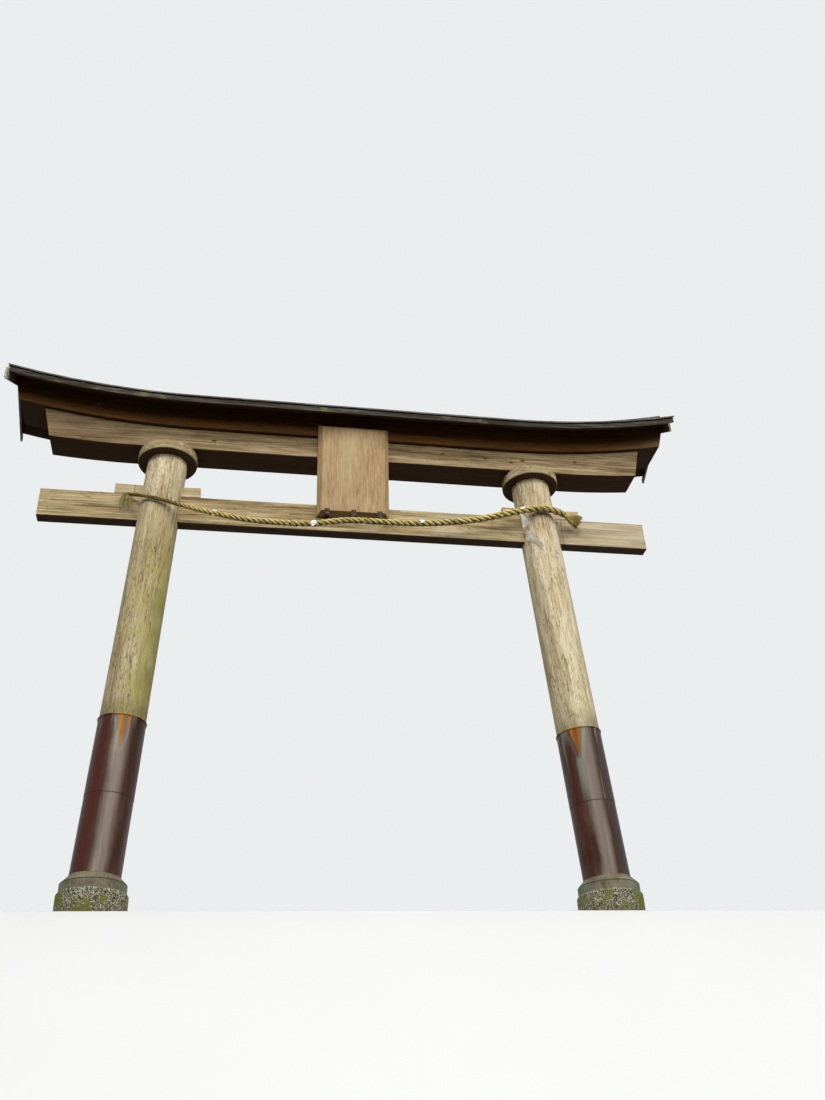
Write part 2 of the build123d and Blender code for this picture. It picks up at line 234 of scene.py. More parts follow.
# How far out from the middle each stone stands.
FOOT_OUT = 1.52


def granite():
    paint = Paint("granite", roughness=0.85)
    speckle = paint.noise(120, 2, 0.75)
    grain = paint.noise(60, 3, 0.6, place=paint.mapped(move=(3, 1, 7)))
    paint.colour = paint.ramp(
        speckle,
        (0.38, (0.015, 0.015, 0.01)),
        (0.47, (0.09, 0.085, 0.055)),
        (0.54, (0.26, 0.245, 0.17)),
        (0.63, (0.6, 0.57, 0.43)),
    )
    paint.over(grain.between(0.5, 0.75) * 0.4, (0.17, 0.16, 0.1))
    across, _, up = paint.axes()
    patch = paint.noise(9, 4, 0.6) + paint.noise(40, 2) * 0.25
    side_on = (abs(across) - FOOT_OUT).between(-0.05, 0.2)
    moss = (patch + side_on * 0.18 - 0.58).between(0.08, 0.2) * up.between(0.19, 0.1)
    moss_colour = paint.mix(paint.noise(120, 2), (0.05, 0.075, 0.008), (0.24, 0.25, 0.04))
    paint.over(moss * 0.9, moss_colour)
    # The bottom few centimetres of each stone are darker.
    darker_foot = up.between(0.07, 0.0) * 0.5
    paint.over(darker_foot, (0.1, 0.09, 0.05))
    return paint.finish(speckle + patch * 0.5 + moss * 0.6, 0.55)


dress(granite(), "base_stone_left", "base_stone_right")


# Copper collars: sheet copper dressed over the seat of each stone and up to the post. Rain has
# turned it grey-green, brightest along the lower rim.
def collar_copper():
    paint = Paint("collar_copper", roughness=0.6, metallic=0.2)
    cloud = paint.noise(14, 4, 0.6)
    fine = paint.noise(90, 3, 0.6)
    across, _, up = paint.axes()
    runs = paint.drawn((60, 60, 9), 3, 0.6)
    paint.colour = paint.ramp(
        cloud * 0.55 + fine * 0.2 + runs * 0.25,
        (0.36, (0.07, 0.055, 0.032)),
        (0.48, (0.15, 0.125, 0.08)),
        (0.58, (0.21, 0.185, 0.125)),
        (0.68, (0.27, 0.27, 0.19)),
    )
    rim = (up + fine * 0.008).between(0.158, 0.147)
    ledge = (abs(up - 0.193) + fine * 0.006).between(0.013, 0.004)
    side_on = (abs(abs(across) - FOOT_OUT) + (cloud - 0.5) * 0.1).between(0.11, 0.19)
    verdigris = (rim * 0.4).most(ledge * 0.45) * cloud.between(0.38, 0.56)
    verdigris = verdigris.most(cloud.between(0.55, 0.68) * 0.3).most(side_on * 0.6)
    paint.over(verdigris, (0.13, 0.19, 0.13))
    # Painted shade: a dark line drawn along the crease in the collar.
    crease_shade = abs(up - 0.1905 - (fine - 0.5) * 0.003).between(0.0045, 0.0012)
    paint.over(crease_shade * 0.85, (0.03, 0.022, 0.014))
    return paint.finish(cloud + fine * 0.3 + runs * 0.2, 0.3)


dress(collar_copper(), "base_collar_left", "base_collar_right")


# Posts: two round cypress timbers, hand-planed, leaning in towards each other. The bare wood has
# gone pale grey-beige, with drying checks along the grain and algae where it stays damp.
sides = (("left", -1), ("right", 1))
POST_LEAN = math.radians(3.25)
FOOT_UP = 0.188

# The left post is the greener one, darker lower down from its greener tone and painted shade. The
# right one is paler, with painted shade on its top and its left side.
POST_MARKS = {
    "left": {
        "tone_and_shade_heights": (3.5, 2.4), "tone_and_shade": (0.67, 0.635, 0.54),
        "algae": 0.62, "damp": 0.7, "shaded": 0,
    },
    "right": {
        "tone_and_shade_heights": (2.5, 3.0), "tone_and_shade": (0.88, 0.85, 0.8),
        "algae": 0.2, "damp": 0.15, "shaded": 0.25,
    },
}


def post_offset(across, up, side):
    """Distance across from a post's axis, to the right as seen from the front."""
    return across - (FOOT_OUT - (up - FOOT_UP) * math.tan(POST_LEAN)) * side


def post_wood(side_name, side):
    paint = Paint(f"post_wood_{side_name}", roughness=0.78)
    upright = paint.mapped(turn=(0, side * POST_LEAN, 0), move=(side, 0, 0))
    broad = paint.drawn((13, 13, 0.9), 4, 0.6, 0.3, place=upright)
    fine = paint.drawn((75, 75, 5), 4, 0.65, 0.6, place=upright)
    paint.colour = paint.ramp(
        broad * 0.45 + fine * 0.55,
        (0.37, (0.27, 0.205, 0.11)),
        (0.45, (0.48, 0.39, 0.245)),
        (0.53, (0.63, 0.535, 0.37)),
        (0.62, (0.78, 0.69, 0.52)),
    )
    dashes = paint.drawn((78, 78, 15), 3, 0.65, 1.6, place=upright)
    crowd = paint.drawn((5, 5, 2.2), 2, 0.5, move=(1, 4, 2), place=upright)
    dashes = dashes.between(0.54, 0.61) * (0.35 + crowd.between(0.4, 0.62) * 0.5)
    paint.over(dashes, (0.15, 0.11, 0.05))
    crack_field = paint.drawn((7, 7, 0.28), 2, 0.5, 0.4, place=upright)
    crack_here = paint.drawn((4, 4, 1.1), 2, 0.5, move=(5, 2, 1), place=upright)
    cracks = abs(crack_field - 0.5).between(0.007, 0.001) * crack_here.between(0.5, 0.58)
    paint.over(cracks * 0.85, (0.1, 0.07, 0.035))
    across, _, up = paint.axes()
    aside = post_offset(across, up, side)
    cloud = paint.noise(5, 4, 0.6)
    marks = POST_MARKS[side_name]
    # Painted shade over a band of heights, with a greener tone on the left post.
    paint.over(up.between(*marks["tone_and_shade_heights"]), marks["tone_and_shade"], "MULTIPLY")
    streaks = paint.drawn((64, 64, 5), 4, 0.7, 0.8, move=(2, 5, 0), place=upright)
    algae = (streaks + cloud * 0.35 + aside * 0.6).between(0.62, 0.76) * up.between(2.85, 2.2)
    paint.over(algae * marks["algae"], (0.36, 0.33, 0.09))
    damp = (aside * 2.2 + cloud - 0.4).between(0.25, 0.6) * up.between(2.75, 1.9)
    paint.over(damp * marks["damp"], (0.2, 0.185, 0.05))
    # Painted shade down the right post's left side.
    shaded = (cloud * 0.1 - aside).between(0.1, 0.19) * up.between(2.7, 2.3)
    paint.over(shaded * marks["shaded"], (0.27, 0.2, 0.09))
    foot = up.between(1.36, 1.19) * (cloud * 1.7 - 0.2) * fine.between(0.3, 0.6)
    paint.over(foot * 0.9, (0.1, 0.085, 0.025))
    height = broad * 0.5 + fine - dashes * 0.8 - cracks * 3
    return paint.finish(height, 0.55)


for side_name, side in sides:
    dress(post_wood(side_name, side), f"post_{side_name}")


# Copper sheaths: two courses of sheet copper wrapped round the foot of each post, with a rolled
# rim. They have darkened to a glossy purple brown, with a rust stain and pale runs at the top.
SHEATH_TOP = 1.19
COURSE_SEAM = 0.698

# The left sheath is redder with a painted highlight streak. The right one has wide pale runs,
# painted shade on its right side and a pale seam. Both have a painted highlight band. Places are
# measured across from the post's axis.
SHEATH_MARKS = {
    "left": {
        "stain": 0.026, "stain_half_width": 0.047, "stain_strength": 0.9, "below": 0.1,
        "stain_tones": ((0.22, 0.08, 0.01), (0.42, 0.18, 0.022)),
        "band": 0.022, "highlight_streak": 0.3, "dull": 0,
        "red": -0.085, "red_half_width": 0.05, "red_strength": 0.9,
    },
    "right": {
        "stain": -0.066, "stain_half_width": 0.045, "stain_strength": 1, "below": 0.65,
        "stain_tones": ((0.2, 0.06, 0.008), (0.5, 0.2, 0.025)),
        "band": -0.022, "highlight_streak": 0, "dull": 0.6,
        "red": -0.118, "red_half_width": 0.035, "red_strength": 0.4,
    },
}


def most_of(masks):
    """The strongest of several masks at each place."""
    return functools.reduce(Sum.most, masks)


def sheath_copper(side_name, side):
    marks = SHEATH_MARKS[side_name]
    paint = Paint(f"sheath_copper_{side_name}", gloss=0.13)
    paint.set("Coat Roughness", 0.25)
    across, out, up = paint.axes()
    aside = post_offset(across, up, side)
    drop = SHEATH_TOP - up
    level = up - aside * side * math.tan(POST_LEAN)
    front = out.between(0.0, -0.05)
    front_half = out.between(0.02, -0.06)
    upright = paint.mapped(turn=(0, side * POST_LEAN, 0), move=(side * 2, 0, 0))
    streaks = paint.drawn((26, 26, 1.4), 4, 0.6, 0.5, place=upright)
    cloud = paint.drawn((6, 6, 2.5), 4, 0.6, 0.6, place=upright)
    fine = paint.noise(130, 3, 0.6)
    paint.colour = paint.ramp(
        cloud * 0.5 + streaks * 0.5,
        (0.34, (0.022, 0.006, 0.003)),
        (0.46, (0.045, 0.017, 0.01)),
        (0.56, (0.075, 0.037, 0.025)),
        (0.68, (0.13, 0.08, 0.06)),
    )

    wander = aside + (cloud - 0.5) * 0.05
    # Painted highlight: a broad pale band down the front, and on the left sheath a brighter streak
    # in it.
    band = abs(wander - marks["band"]).between(0.062, 0.02) * front_half
    paint.over(band * (0.3 + streaks * 0.65), (0.25, 0.205, 0.17))
    highlight_streak = abs(wander - 0.008).between(0.018, 0.003) * streaks.between(0.35, 0.6)
    paint.over(highlight_streak * marks["highlight_streak"], (0.45, 0.4, 0.37))
    # Painted shade on the right sheath's right side.
    painted_shade_right_side = aside.between(0.03, 0.075) * front_half
    paint.over(painted_shade_right_side * marks["dull"], (0.045, 0.034, 0.03))
    red = abs(aside - marks["red"] + (cloud - 0.5) * 0.04).between(marks["red_half_width"], 0.012)
    red = red * (0.45 + streaks.between(0.38, 0.6) * 0.5) * out.between(0.02, -0.03)
    paint.over(red * marks["red_strength"], (0.08, 0.012, 0.005))

    beyond = aside - marks["stain"]
    from_stain = abs(beyond + (cloud - 0.5) * 0.06 * drop)
    half_width = marks["stain_half_width"] - drop * 0.2
    stain = (half_width - from_stain + (fine - 0.5) * 0.01).between(-0.003, 0.008) * front
    stain = stain * (0.75 + streaks.between(0.42, 0.6) * 0.25) * marks["stain_strength"]
    border = abs(half_width + 0.012 - from_stain).between(0.017, 0.001) * drop.between(0.3, 0.0)
    if side > 0:
        border = border * (beyond.between(-0.04, 0.03) * 0.6 + 0.4)
        beside = beyond - half_width.most(0.0)
        beside = beside.between(-0.004, 0.006) * beside.between(0.04, 0.012)
        beside = beside * drop.between(0.34, 0.12) * (0.5 + streaks.between(0.35, 0.6) * 0.5)
        border = border.most(beside)
    else:
        border = border * streaks.between(0.42, 0.58)
    below = abs(beyond + 0.008).between(0.026, 0.006) * drop.between(0.17, 0.24)
    below = below * drop.between(0.56, 0.28) * marks["below"]
    runs = streaks.between(0.48, 0.6) * drop.between(0.16, 0.0) * fine.between(0.3, 0.6)
    edge_run = abs(aside + 0.139).between(0.012, 0.003) * drop.between(0.4, 0.05)
    edge_run = edge_run * streaks.between(0.38, 0.54) * 0.6
    pale = most_of((runs * 0.8, (border * 0.85).most(below) * front, edge_run))
    paint.over(pale * 0.85, (0.27, 0.31, 0.25))
    stain_colour = paint.mix(streaks.between(0.35, 0.65), *marks["stain_tones"])
    paint.over(stain, stain_colour)

    if side > 0:
        upper = level.between(COURSE_SEAM - 0.003, COURSE_SEAM)
        seam = abs(aside - 0.036 - drop * 0.012 + (1.0 - upper) * 0.045).between(0.007, 0.002)
        seam = seam * streaks.between(0.36, 0.56) * (upper * 0.6 + 0.4)
        paint.over(seam * 0.6 * front, (0.36, 0.37, 0.33))
    rusty_rim = level.between(SHEATH_TOP - 0.011, SHEATH_TOP - 0.009) * front
    paint.over(rusty_rim * from_stain.between(0.09, 0.05) * 0.8, (0.33, 0.15, 0.03))
    lap = abs(level - COURSE_SEAM).between(0.004, 0.001)
    paint.over(lap * 0.8, (0.012, 0.007, 0.005))
    dull = pale.most(stain)
    return paint.finish(
        cloud + fine * 0.06,
        0.12,
        0.004,
        Roughness=0.37 + streaks * 0.14 + dull * 0.3,
        Metallic=0.12 - dull * 0.11,
        Coat_Weight=0.025 - dull * 0.02,
    )


for side_name, side in sides:
    sheath_nodes = (f"sheath_{part}_{side_name}" for part in ("lower", "upper", "rim"))
    dress(sheath_copper(side_name, side), *sheath_nodes)


# Cap rings: a thick turned disc of cypress on each post's head, under the lintel. The upright
# face shows long grain and stays pale, and the underside is dark.
def grain_wood(name, tones, along=(1, 0, 0), coarse=1.0, roughness=0.75, flecked=0.6):
    """A planed timber with its grain along one axis: its paint, and its relief to add to."""
    paint = Paint(name, roughness)

    def grain(lengthwise, crosswise):
        return [lengthwise if part else crosswise for part in along]

    broad = paint.drawn(grain(0.55, 9.0 * coarse), 4, 0.6, 0.35)
    fine = paint.drawn(grain(2.6, 80.0 * coarse), 4, 0.65, 0.3)
    flecks = paint.drawn(grain(11.0, 85.0), 3, 0.65, 1.2)
    positions = (0.39, 0.465, 0.535, 0.61)
    paint.colour = paint.ramp(broad * 0.45 + fine * 0.55, *zip(positions, tones))
    dark = tuple(part * 0.4 for part in tones[0])
    flecks = flecks.between(0.57, 0.66)
    paint.over(flecks * flecked, dark)
    return paint, broad * 0.4 + fine - flecks * 0.5


def ring_wood():
    tones = ((0.17, 0.125, 0.06), (0.31, 0.24, 0.13), (0.4, 0.32, 0.19), (0.52, 0.44, 0.29))
    paint, height = grain_wood("ring_wood", tones, coarse=0.9)
    up = paint.axes()[2]
    cloud = paint.noise(7, 4, 0.6)
    paint.over(cloud.between(0.5, 0.7) * 0.4, (0.2, 0.18, 0.08))
    edge = up.between(3.212, 3.195) * 0.4
    paint.over(edge, (0.12, 0.08, 0.04))
    return paint.finish(height, underside_tone_and_shade=(0.05, 0.022, 0.009))


dress(ring_wood(), "cap_ring_left", "cap_ring_right")


# Tie beam: one straight cypress timber put through both posts. It has long drying cracks at its
# left end, and at the right a scarf line, a nail hole and a paler patch beside the post.
def line_mark(paint, across, up, start, end, height, width, wobble, strength):
    """A thin mark along X from start to end at one height, with a wandering line."""
    wander = paint.drawn((4, 1, 1), 3, 0.6, move=(height * 9, 0, 0))
    line = abs(up - height + (wander - 0.5) * wobble).between(width, width * 0.25)
    ends = across.between(start - 0.02, start + 0.02) * across.between(end + 0.06, end - 0.02)
    return line * ends * strength


def spot(across, up, centre, radius, stretch=1.0):
    """A round or oval mark at a place on the front face."""
    wide = (across - centre[0]) / stretch
    high = up - centre[1]
    return (wide * wide + high * high).between(radius * radius, radius * radius * 0.3)


# Each drying crack: start and end across, height, half width, wobble and strength.
BEAM_CRACKS = (
    (-2.14, -1.75, 2.806, 0.004, 0.02, 1),
    (-1.96, -1.62, 2.768, 0.003, 0.016, 1),
    (-2.1, -1.9, 2.73, 0.0025, 0.012, 1),
    (-1.05, -0.4, 2.81, 0.002, 0.02, 0.7),
    (0.55, 1.2, 2.79, 0.002, 0.02, 0.7),
    (1.62, 2.1, 2.82, 0.002, 0.02, 0.6),
)


def beam_wood():
    tones = ((0.125, 0.08, 0.03), (0.265, 0.195, 0.09), (0.375, 0.29, 0.15), (0.51, 0.42, 0.255))
    paint, height = grain_wood("beam_wood", tones)
    across, _, up = paint.axes()
    cloud = paint.noise(2.2, 4, 0.6, place=paint.mapped((1, 1, 2)))
    paint.over(cloud.between(0.5, 0.68) * 0.35, (0.46, 0.4, 0.3))
    paint.over(cloud.between(0.44, 0.3) * 0.4, (0.24, 0.17, 0.09))
    pale_end = across.between(1.4, 1.7) * 0.4
    paint.over(pale_end, (0.5, 0.435, 0.325))
    patch = across.between(1.36, 1.42) * across.between(1.545, 1.53)
    paint.over(patch * 0.55, (0.34, 0.3, 0.23))
    marks = most_of(line_mark(paint, across, up, *crack) for crack in BEAM_CRACKS)
    scarf = abs(across - 1.539 + (paint.noise(30, 2) - 0.5) * 0.004).between(0.003, 0.001)
    marks = marks.most(scarf).most(spot(across, up, (1.507, 2.862), radius=0.011))
    paint.over(marks * 0.9, (0.07, 0.045, 0.025))
    arris = up.between(2.888, 2.895).most(up.between(2.681, 2.674))
    paint.over(arris * 0.3, (0.6, 0.52, 0.4))
    return paint.finish(height - marks * 3, underside_tone_and_shade=(0.055, 0.024, 0.009))


dress(beam_wood(), "tie_beam")


# Wedges: four pale wooden wedges driven in over the beam from both sides of each post. The outer
# one on the left is made of two lengths.
def wedge_wood():
    tones = ((0.24, 0.165, 0.08), (0.38, 0.29, 0.165), (0.46, 0.37, 0.23), (0.56, 0.47, 0.33))
    paint, height = grain_wood("wedge_wood", tones, coarse=1.3)
    across = paint.axes()[0]
    join = abs(across + 1.553).between(0.0035, 0.001)
    paint.over(join * 0.85, (0.08, 0.05, 0.03))
    second = across.between(-1.553, -1.549) * across.between(-1.4, -1.42)
    paint.over(second * 0.35, (0.33, 0.25, 0.15))
    return paint.finish(height - join * 2, 0.35, underside_tone_and_shade=(0.1, 0.06, 0.03))


dress(
    wedge_wood(), "wedge_left_outer", "wedge_left_inner", "wedge_right_outer", "wedge_right_inner"
)


# Lower lintel: a squared timber with slanted ends that turn up a little. Its face is weathered to
# a dull brown, with a few dark knots and old nail holes.

# Each knot or nail hole: its place across and up, its radius and how oval it is.
LINTEL_KNOTS = (
    ((0.66, 3.385), 0.013, 1.6),
    ((0.99, 3.372), 0.012, 1.8),
    ((1.19, 3.35), 0.012, 1.8),
    ((1.28, 3.372), 0.012, 1.8),
    ((1.7, 3.395), 0.012, 1.8),
    ((-1.03, 3.36), 0.012, 1.8),
)

# Each drying crack, as on the beam.
LINTEL_CRACKS = ((-1.6, -0.9, 3.37, 0.0022, 0.03, 0.6), (0.9, 1.4, 3.4, 0.002, 0.02, 0.6))


def lintel_wood():
    tones = ((0.1, 0.064, 0.028), (0.205, 0.145, 0.07), (0.3, 0.22, 0.118), (0.43, 0.335, 0.2))
    paint, height = grain_wood("lintel_wood", tones)
    across, _, up = paint.axes()
    cloud = paint.noise(1.6, 4, 0.6, 0.4, paint.mapped((1, 1, 2.5)))
    paint.over(cloud.between(0.48, 0.66) * 0.35, (0.4, 0.32, 0.22))
    marks = most_of(spot(across, up, *knot) for knot in LINTEL_KNOTS)
    halo = spot(across, up, (0.7, 3.38), radius=0.05, stretch=3.0) * 0.4
    paint.over(halo, (0.2, 0.12, 0.05))
    for crack in LINTEL_CRACKS:
        marks = marks.most(line_mark(paint, across, up, *crack))
    paint.over(marks * 0.9, (0.05, 0.03, 0.015))
    dim = across.between(-1.2, -2.1) * 0.85
    paint.over(dim, (0.62, 0.55, 0.5), "MULTIPLY")
    return paint.finish(height - marks * 3, underside_tone_and_shade=(0.042, 0.015, 0.004))


dress(lintel_wood(), "lower_lintel")


# Upper lintel: the swept top timber, five-sided to carry the roof. A deep warm brown, darkened with
# painted shade from the eaves, with painted light at its lower edge and left end; lighter to the
# right end.
def upper_lintel_wood():
    # Painted shade: the tones are kept dark for the shade under the eaves.
    tones = ((0.055, 0.016, 0.002), (0.1, 0.031, 0.004), (0.145, 0.05, 0.008), (0.19, 0.078, 0.018))
    paint, height = grain_wood("upper_lintel_wood", tones, coarse=0.8)
    across, _, up = paint.axes()
    low = (up - abs(across) * 0.075).between(3.53, 3.44)
    # Painted light at the left end, stronger lower down.
    painted_light_left_end = across.between(-1.7, -2.35) * (0.35 + low * 0.4)
    paint.over(painted_light_left_end, (0.15, 0.062, 0.012))
    # Lighter towards the right end.
    lighter_right_end = across.between(1.9, 2.4) * (0.4 + low * 0.4)
    paint.over(lighter_right_end, (0.22, 0.14, 0.055))
    # Painted light along the lower edge, below the eave's shade.
    painted_light_lower_edge = low * 0.28
    paint.over(painted_light_lower_edge, (0.2, 0.11, 0.04))
    nail = spot(across, up, (-1.86, 3.6), radius=0.01)
    paint.over(nail * 0.9, (0.4, 0.38, 0.34))
    return paint.finish(height, 0.35, underside_tone_and_shade=(0.035, 0.014, 0.005))


dress(upper_lintel_wood(), "upper_lintel")


# Roof boards: a wide sloping board each side over the lintel. The boards are painted near-black as
# painted shade under the eaves, and the edge that faces the weather is silver grey.
EAVE_OUT = 0.347


def eave_wood():
    # Painted shade: near-black tones for the boards in the shade of the eaves.
    tones = (0.02, 0.009, 0.004), (0.035, 0.016, 0.007), (0.05, 0.026, 0.012), (0.08, 0.045, 0.024)
    paint, height = grain_wood("eave_wood", tones)
    out = paint.axes()[1]
    edge = abs(out).between(EAVE_OUT - 0.0012, EAVE_OUT - 0.0004)
    streaks = paint.drawn((2.5, 1, 60), 4, 0.7, 0.3)
    patches = paint.noise(1.3, 4, 0.6)
    silver = paint.ramp(
        streaks * 0.6 + patches * 0.4,
        (0.4, (0.016, 0.011, 0.008)),
        (0.5, (0.036, 0.028, 0.023)),
        (0.62, (0.1, 0.082, 0.068)),
    )
    lichen = paint.noise(6, 4, 0.65).between(0.56, 0.68)
    silver = paint.mix(lichen * 0.45, silver, (0.16, 0.17, 0.07))
    paint.over(edge, silver)
    return paint.finish(height)


dress(eave_wood(), "roof_board_front", "roof_board_rear")


# Roof covers and ridge cap: thin boards laid lengthways over the roof boards, with a fine lip at
# the eaves, and two leaves nailed along the ridge. They are dark and weathered, with lichen.
def roof_cover_wood():
    tones = ((0.03, 0.025, 0.02), (0.065, 0.056, 0.046), (0.11, 0.1, 0.085), (0.2, 0.185, 0.16))
    paint, height = grain_wood("roof_cover_wood", tones, coarse=1.1)
    joints = paint.waves("Y", 2.6).between(0.03, 0.0)
    cross = paint.drawn((0.9, 0.01, 0.01), 0, 0.5)
    lichen = paint.noise(4, 5, 0.65) + paint.noise(30, 3, 0.6) * 0.25
    paint.over(lichen.between(0.66, 0.78) * 0.6, (0.2, 0.22, 0.12))
    paint.over(cross.between(0.4, 0.6) * 0.2, (0.09, 0.07, 0.055))
    paint.over(joints * 0.9, (0.02, 0.018, 0.015))
    return paint.finish(height - joints * 3, 0.5)


dress(roof_cover_wood(), "roof_cover_front", "roof_cover_rear", "ridge_cap")


# Barge boards: thin gable-shaped boards nailed over the ends of the roof boards, under the covers.
# Their feet stand past the eaves in pale grey; painted shadow darkens the inner faces behind them.
# The right front foot is lost.
def barge_wood():
    tones = ((0.2, 0.17, 0.14), (0.33, 0.29, 0.25), (0.43, 0.39, 0.34), (0.56, 0.52, 0.46))
    paint, height = grain_wood("barge_wood", tones, (0, 1, 0))
    across, out, _ = paint.axes()
    green = paint.noise(20, 3, 0.6).between(0.45, 0.65) * out.between(-0.38, -0.34)
    paint.over(green * 0.5, (0.3, 0.36, 0.22))
    # Painted shadow: the inner faces behind the eave line are near-black, but near the front of the
    # right board.
    painted_eave_shadow = abs(across).between(2.4665, 2.4655) * (out + 0.33).between(-0.004, 0.008)
    unshadowed_right_front = across.between(2.3, 2.4) * (out + 0.225).between(0.0, -0.02)
    paint.over(painted_eave_shadow * (1 - unshadowed_right_front), (0.012, 0.008, 0.006))
    return paint.finish(height)


dress(barge_wood(), "barge_board_left", "barge_board_right")


# Strut: a short cypress upright tenoned between the beam and the lower lintel. It is hidden from
# the front by the name board.
def strut_wood():
    tones = ((0.22, 0.14, 0.07), (0.34, 0.24, 0.13), (0.42, 0.32, 0.19), (0.5, 0.4, 0.27))
    paint, height = grain_wood("strut_wood", tones, (0, 0, 1))
    return paint.finish(height, 0.35)


dress(strut_wood(), "strut")


# Name board: a thick board of fresh planed cypress with a bevelled border, leaning out from the
# beam to the upper lintel. Its face is left bare.
def plaque_wood():
    tones = ((0.27, 0.175, 0.08), (0.355, 0.245, 0.125), (0.41, 0.295, 0.155), (0.47, 0.35, 0.2))
    paint, height = grain_wood(
        "plaque_wood", tones, (0, 0, 1), coarse=0.7, roughness=0.55, flecked=0.15
    )
    across, _, up = paint.axes()
    figure = paint.drawn((5, 5, 0.35), 2, 0.5, 0.8, move=(2, 0, 0))
    rings = paint.waves("X", 20, 4, 2, 1.2, paint.mapped((1, 1, 0.12)))
    near_sides = abs(across).between(0.06, 0.17) * 0.2
    paint.over(rings * (near_sides + 0.22), (0.3, 0.18, 0.075))
    paint.over(figure.between(0.45, 0.65) * 0.25, (0.48, 0.36, 0.2))
    foot = up.between(2.86, 2.79) * 0.3
    paint.over(foot, (0.3, 0.19, 0.09))
    return paint.finish(height, 0.15, 0.002, underside_tone_and_shade=(0.2, 0.11, 0.035))


dress(plaque_wood(), "plaque")


# Brackets: three bent straps of dark forged iron that hold the name board's foot on the beam. They
# are hammered to shape and a little rusty.
def bracket_iron():
    paint = Paint("bracket_iron", roughness=0.55, metallic=0.6)
    cloud = paint.noise(90, 4, 0.6)
    paint.colour = paint.ramp(
        cloud, (0.4, (0.02, 0.015, 0.015)), (0.55, (0.05, 0.035, 0.035)), (0.7, (0.16, 0.08, 0.045))
    )
    return paint.finish(cloud, 0.3, 0.001)


dress(bracket_iron(), *(f"plaque_bracket_{place}" for place in ("left", "middle", "right")))


# Rope: a sacred straw rope laid from three strands, thin at its left end, looped along the front
# of the beam from post to post. The rice straw has dried to a greenish yellow.
ROPE_ROUTE = (
    (-1.59, -0.07, 2.873), (-1.506, -0.12, 2.833), (-1.404, -0.165, 2.788),
    (-1.312, -0.17, 2.76), (-1.174, -0.168, 2.723), (-0.995, -0.166, 2.685),
    (-0.809, -0.165, 2.652), (-0.6, -0.165, 2.637), (-0.331, -0.165, 2.64),
    (-0.158, -0.166, 2.677), (-0.03, -0.166, 2.696), (0.214, -0.167, 2.692),
    (0.449, -0.168, 2.698), (0.701, -0.169, 2.728), (0.93, -0.171, 2.775),
    (1.144, -0.174, 2.845), (1.301, -0.176, 2.888), (1.415, -0.174, 2.894),
    (1.495, -0.164, 2.877), (1.553, -0.152, 2.852),
)
ROPE_THICKNESS = (
    (0.0, 0.018), (0.06, 0.024), (0.13, 0.032), (0.25, 0.041), (0.5, 0.044),
    (0.8, 0.05), (0.97, 0.055), (1.0, 0.044),
)
LAY = 2.9
STRANDS = 3
ROPE_STEPS = 2000
STRAND_STEPS = 700
STRAND_SIDES = 18
# Shares of the rope's thickness: how far out a strand lies, and its radius.
STRAND_OUT = 0.262
STRAND_RADIUS = 0.25


def route_points(route):
    """The points of the smooth curve through a route, as Blender works them out."""
    curve = bpy.data.curves.new("rope_route", "CURVE")
    curve.dimensions = "3D"
    curve.resolution_u = 24
    spline = curve.splines.new("NURBS")
    spline.points.add(len(route) - 1)
    for point, place in zip(spline.points, route):
        point.co = (*place, 1)
    spline.order_u = 3
    spline.use_endpoint_u = True
    holder = placed("rope_route", curve)
    mesh = bpy.data.meshes.new_from_object(holder)
    points = [vertex.co.copy() for vertex in mesh.vertices]
    bpy.data.objects.remove(holder)
    bpy.data.meshes.remove(mesh)
    bpy.data.curves.remove(curve)
    return points


class Line:
    """A line of points with its length along it, and a frame that doesn't turn round it."""

    def __init__(self, points):
        self.points = points
        self.marks = [0.0]
        for first, second in zip(points, points[1:]):
            self.marks.append(self.marks[-1] + (second - first).length)
        self.length = self.marks[-1]
        ends = [points[0], *points, points[-1]]
        self.heads = [(after - before).normalized() for before, after in zip(ends, ends[2:])]
        self.sides = [self.heads[0].orthogonal().normalized()]
        for head in self.heads[1:]:
            side = self.sides[-1] - head * self.sides[-1].dot(head)
            self.sides.append(side.normalized())

    def at(self, run):
        """The place, the direction and two sideways directions at a length along the line."""
        run = min(max(run, 0.0), self.length)
        index = min(bisect.bisect_right(self.marks, run), len(self.marks) - 1) - 1
        share = (run - self.marks[index]) / (self.marks[index + 1] - self.marks[index])
        place = self.points[index].lerp(self.points[index + 1], share)
        head = self.heads[index].lerp(self.heads[index + 1], share).normalized()
        side = self.sides[index].lerp(self.sides[index + 1], share)
        side = (side - head * side.dot(head)).normalized()
        return place, head, side, head.cross(side)

    def nearest(self, spot):
        """The nearest place on the line to a spot, and its share of the length."""
        index = bisect.bisect_left(self.points, spot.x, key=lambda point: point.x)
        index = min(index, len(self.points) - 1)
        near = range(max(index - 12, 0), min(index + 13, len(self.points)))
        index = min(near, key=lambda step: (self.points[step] - spot).length_squared)
        offset = spot - self.points[index]
        along = offset.dot(self.heads[index])
        return self.points[index] + self.heads[index] * along, self.marks[index] / self.length


def rolled(shape, along, around, place):
    """A closed tube rolled from a flat grid; place(share, turn) says where each vertex goes."""
    grid = bmesh.ops.create_grid(
        shape, x_segments=along, y_segments=around, size=0.5, calc_uvs=True
    )
    for vertex in grid["verts"]:
        vertex.co = place(vertex.co.x + 0.5, (vertex.co.y + 0.5) * math.tau)
    bmesh.ops.remove_doubles(shape, verts=grid["verts"], dist=1e-6)


def straw_shape():
    """An empty shape whose UV map follows the straws."""
    shape = bmesh.new()
    shape.loops.layers.uv.new("UVMap")
    return shape


